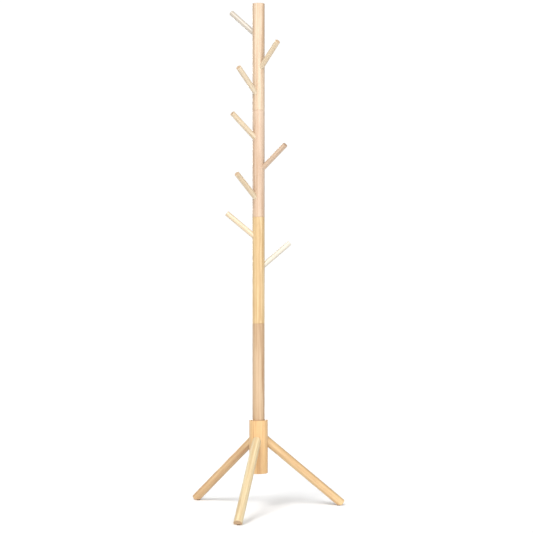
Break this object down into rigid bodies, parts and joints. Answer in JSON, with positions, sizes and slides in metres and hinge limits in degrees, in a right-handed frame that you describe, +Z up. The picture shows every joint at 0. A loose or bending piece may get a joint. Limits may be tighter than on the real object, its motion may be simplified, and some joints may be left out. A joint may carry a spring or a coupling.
{
  "type": "standing coat rack",
  "caption": "Round wooden pole in screwed sections on a hub with splayed round legs, carrying plain round pegs that slope upward.",
  "frame": {"origin": "on the pole's axis, at floor level", "axes": "+Z up along the pole; +X to the right and +Y to the back as seen from the front"},
  "size_m": [0.5346, 0.5244, 1.737],
  "materials": {
    "pole_wood": "light natural wood, satin clear lacquer",
    "peg_wood": "pale natural wood, satin clear lacquer",
    "base_wood": "light golden wood, satin clear lacquer",
    "zinc_studs": "bright zinc plated steel thread",
    "brass_inserts": "machined brass",
    "rubber_pads": "matt dark rubber"
  },
  "bodies": {
    "hub": {"hub": "base_wood", "hub_insert": "brass_inserts", "leg_inserts": "brass_inserts"},
    "pole_stud_bottom": {"pole_stud_bottom": "zinc_studs"},
    "pole_bottom": {"pole_bottom": "pole_wood", "pole_insert_bottom": "brass_inserts"},
    "pole_stud_lower": {"pole_stud_lower": "zinc_studs"},
    "pole_lower": {"pole_lower": "pole_wood", "pole_insert_lower": "brass_inserts", "peg_inserts_lower": "brass_inserts"},
    "pole_stud_upper": {"pole_stud_upper": "zinc_studs"},
    "pole_upper": {"pole_upper": "pole_wood", "pole_insert_upper": "brass_inserts", "peg_inserts_upper": "brass_inserts"},
    "pole_stud_top": {"pole_stud_top": "zinc_studs"},
    "pole_top": {"pole_top": "pole_wood", "peg_inserts_top": "brass_inserts"},
    "peg_stud_1": {"peg_stud_1": "zinc_studs"},
    "peg_1": {"peg_1": "peg_wood"},
    "peg_stud_2": {"peg_stud_2": "zinc_studs"},
    "peg_2": {"peg_2": "peg_wood"},
    "peg_stud_3": {"peg_stud_3": "zinc_studs"},
    "peg_3": {"peg_3": "peg_wood"},
    "peg_stud_4": {"peg_stud_4": "zinc_studs"},
    "peg_4": {"peg_4": "peg_wood"},
    "peg_stud_5": {"peg_stud_5": "zinc_studs"},
    "peg_5": {"peg_5": "peg_wood"},
    "peg_stud_6": {"peg_stud_6": "zinc_studs"},
    "peg_6": {"peg_6": "peg_wood"},
    "peg_stud_7": {"peg_stud_7": "zinc_studs"},
    "peg_7": {"peg_7": "peg_wood"},
    "peg_stud_8": {"peg_stud_8": "zinc_studs"},
    "peg_8": {"peg_8": "peg_wood"},
    "leg_stud_right": {"leg_stud_right": "zinc_studs"},
    "leg_right": {"leg_right": "base_wood", "foot_pad_right": "rubber_pads"},
    "leg_stud_left": {"leg_stud_left": "zinc_studs"},
    "leg_left": {"leg_left": "base_wood", "foot_pad_left": "rubber_pads"},
    "leg_stud_front": {"leg_stud_front": "zinc_studs"},
    "leg_front": {"leg_front": "base_wood", "foot_pad_front": "rubber_pads"}
  },
  "joints": [
    {"name": "pole_bottom_travel", "type": "slide", "parent": "hub", "child": "pole_stud_bottom", "axis": [0, 0, 1], "range_m": [0, 0.0181]},
    {"name": "pole_bottom_turn", "type": "hinge", "parent": "pole_stud_bottom", "child": "pole_bottom", "pos_m": [0, 0, 0.277], "axis": [0, 0, 1], "range_deg": [0, 4320]},
    {"name": "pole_lower_travel", "type": "slide", "parent": "pole_bottom", "child": "pole_stud_lower", "axis": [0, 0, 1], "range_m": [0, 0.0181]},
    {"name": "pole_lower_turn", "type": "hinge", "parent": "pole_stud_lower", "child": "pole_lower", "pos_m": [0, 0, 0.642], "axis": [0, 0, 1], "range_deg": [0, 4320]},
    {"name": "pole_upper_travel", "type": "slide", "parent": "pole_lower", "child": "pole_stud_upper", "axis": [0, 0, 1], "range_m": [0, 0.0181]},
    {"name": "pole_upper_turn", "type": "hinge", "parent": "pole_stud_upper", "child": "pole_upper", "pos_m": [0, 0, 1.007], "axis": [0, 0, 1], "range_deg": [0, 4320]},
    {"name": "pole_top_travel", "type": "slide", "parent": "pole_upper", "child": "pole_stud_top", "axis": [0, 0, 1], "range_m": [0, 0.0181]},
    {"name": "pole_top_turn", "type": "hinge", "parent": "pole_stud_top", "child": "pole_top", "pos_m": [0, 0, 1.372], "axis": [0, 0, 1], "range_deg": [0, 4320]},
    {"name": "peg_1_travel", "type": "slide", "parent": "pole_top", "child": "peg_stud_1", "axis": [-0.6566, 0.3945, 0.6428], "range_m": [0, 0.012]},
    {"name": "peg_1_turn", "type": "hinge", "parent": "peg_stud_1", "child": "peg_1", "pos_m": [-0.01248, 0.0075, 1.63421], "axis": [-0.6566, 0.3945, 0.6428], "range_deg": [0, 4320]},
    {"name": "peg_2_travel", "type": "slide", "parent": "pole_top", "child": "peg_stud_2", "axis": [0.4503, -0.6197, 0.6428], "range_m": [0, 0.012]},
    {"name": "peg_2_turn", "type": "hinge", "parent": "peg_stud_2", "child": "peg_2", "pos_m": [0.00856, -0.01178, 1.51721], "axis": [0.4503, -0.6197, 0.6428], "range_deg": [0, 4320]},
    {"name": "peg_3_travel", "type": "slide", "parent": "pole_top", "child": "peg_stud_3", "axis": [-0.4716, -0.6037, 0.6428], "range_m": [0, 0.012]},
    {"name": "peg_3_turn", "type": "hinge", "parent": "peg_stud_3", "child": "peg_3", "pos_m": [-0.00896, -0.01147, 1.43021], "axis": [-0.4716, -0.6037, 0.6428], "range_deg": [0, 4320]},
    {"name": "peg_4_travel", "type": "slide", "parent": "pole_upper", "child": "peg_stud_4", "axis": [-0.6197, -0.4503, 0.6428], "range_m": [0, 0.012]},
    {"name": "peg_4_turn", "type": "hinge", "parent": "peg_stud_4", "child": "peg_4", "pos_m": [-0.01178, -0.00856, 1.27721], "axis": [-0.6197, -0.4503, 0.6428], "range_deg": [0, 4320]},
    {"name": "peg_5_travel", "type": "slide", "parent": "pole_upper", "child": "peg_stud_5", "axis": [0.6351, -0.4284, 0.6428], "range_m": [0, 0.012]},
    {"name": "peg_5_turn", "type": "hinge", "parent": "peg_stud_5", "child": "peg_5", "pos_m": [0.01207, -0.00814, 1.17121], "axis": [0.6351, -0.4284, 0.6428], "range_deg": [0, 4320]},
    {"name": "peg_6_travel", "type": "slide", "parent": "pole_upper", "child": "peg_stud_6", "axis": [-0.5126, -0.5693, 0.6428], "range_m": [0, 0.012]},
    {"name": "peg_6_turn", "type": "hinge", "parent": "peg_stud_6", "child": "peg_6", "pos_m": [-0.00974, -0.01082, 1.07221], "axis": [-0.5126, -0.5693, 0.6428], "range_deg": [0, 4320]},
    {"name": "peg_7_travel", "type": "slide", "parent": "pole_lower", "child": "peg_stud_7", "axis": [-0.7642, -0.0534, 0.6428], "range_m": [0, 0.012]},
    {"name": "peg_7_turn", "type": "hinge", "parent": "peg_stud_7", "child": "peg_7", "pos_m": [-0.01452, -0.00102, 0.94021], "axis": [-0.7642, -0.0534, 0.6428], "range_deg": [0, 4320]},
    {"name": "peg_8_travel", "type": "slide", "parent": "pole_lower", "child": "peg_stud_8", "axis": [0.7493, 0.1593, 0.6428], "range_m": [0, 0.012]},
    {"name": "peg_8_turn", "type": "hinge", "parent": "peg_stud_8", "child": "peg_8", "pos_m": [0.01424, 0.00303, 0.83821], "axis": [0.7493, 0.1593, 0.6428], "range_deg": [0, 4320]},
    {"name": "leg_right_travel", "type": "slide", "parent": "hub", "child": "leg_stud_right", "axis": [0.7318, 0.2265, -0.6428], "range_m": [0, 0.01]},
    {"name": "leg_right_turn", "type": "hinge", "parent": "leg_stud_right", "child": "leg_right", "pos_m": [0.01976, 0.00612, 0.24465], "axis": [0.7318, 0.2265, -0.6428], "range_deg": [0, 2880]},
    {"name": "leg_left_travel", "type": "slide", "parent": "hub", "child": "leg_stud_left", "axis": [-0.5621, 0.5205, -0.6428], "range_m": [0, 0.01]},
    {"name": "leg_left_turn", "type": "hinge", "parent": "leg_stud_left", "child": "leg_left", "pos_m": [-0.01518, 0.01405, 0.24465], "axis": [-0.5621, 0.5205, -0.6428], "range_deg": [0, 2880]},
    {"name": "leg_front_travel", "type": "slide", "parent": "hub", "child": "leg_stud_front", "axis": [-0.1697, -0.747, -0.6428], "range_m": [0, 0.01]},
    {"name": "leg_front_turn", "type": "hinge", "parent": "leg_stud_front", "child": "leg_front", "pos_m": [-0.00458, -0.02017, 0.24465], "axis": [-0.1697, -0.747, -0.6428], "range_deg": [0, 2880]}
  ],
  "couplings": [
    {"joint": "pole_bottom_travel", "follows": "pole_bottom_turn", "m_per_rad": 0.00023873},
    {"joint": "pole_lower_travel", "follows": "pole_lower_turn", "m_per_rad": 0.00023873},
    {"joint": "pole_upper_travel", "follows": "pole_upper_turn", "m_per_rad": 0.00023873},
    {"joint": "pole_top_travel", "follows": "pole_top_turn", "m_per_rad": 0.00023873},
    {"joint": "peg_1_turn", "follows": "peg_1_travel", "rad_per_m": 6283.2},
    {"joint": "peg_2_turn", "follows": "peg_2_travel", "rad_per_m": 6283.2},
    {"joint": "peg_3_turn", "follows": "peg_3_travel", "rad_per_m": 6283.2},
    {"joint": "peg_4_turn", "follows": "peg_4_travel", "rad_per_m": 6283.2},
    {"joint": "peg_5_turn", "follows": "peg_5_travel", "rad_per_m": 6283.2},
    {"joint": "peg_6_turn", "follows": "peg_6_travel", "rad_per_m": 6283.2},
    {"joint": "peg_7_turn", "follows": "peg_7_travel", "rad_per_m": 6283.2},
    {"joint": "peg_8_turn", "follows": "peg_8_travel", "rad_per_m": 6283.2},
    {"joint": "leg_right_turn", "follows": "leg_right_travel", "rad_per_m": 5026.5},
    {"joint": "leg_left_turn", "follows": "leg_left_travel", "rad_per_m": 5026.5},
    {"joint": "leg_front_turn", "follows": "leg_front_travel", "rad_per_m": 5026.5}
  ]
}
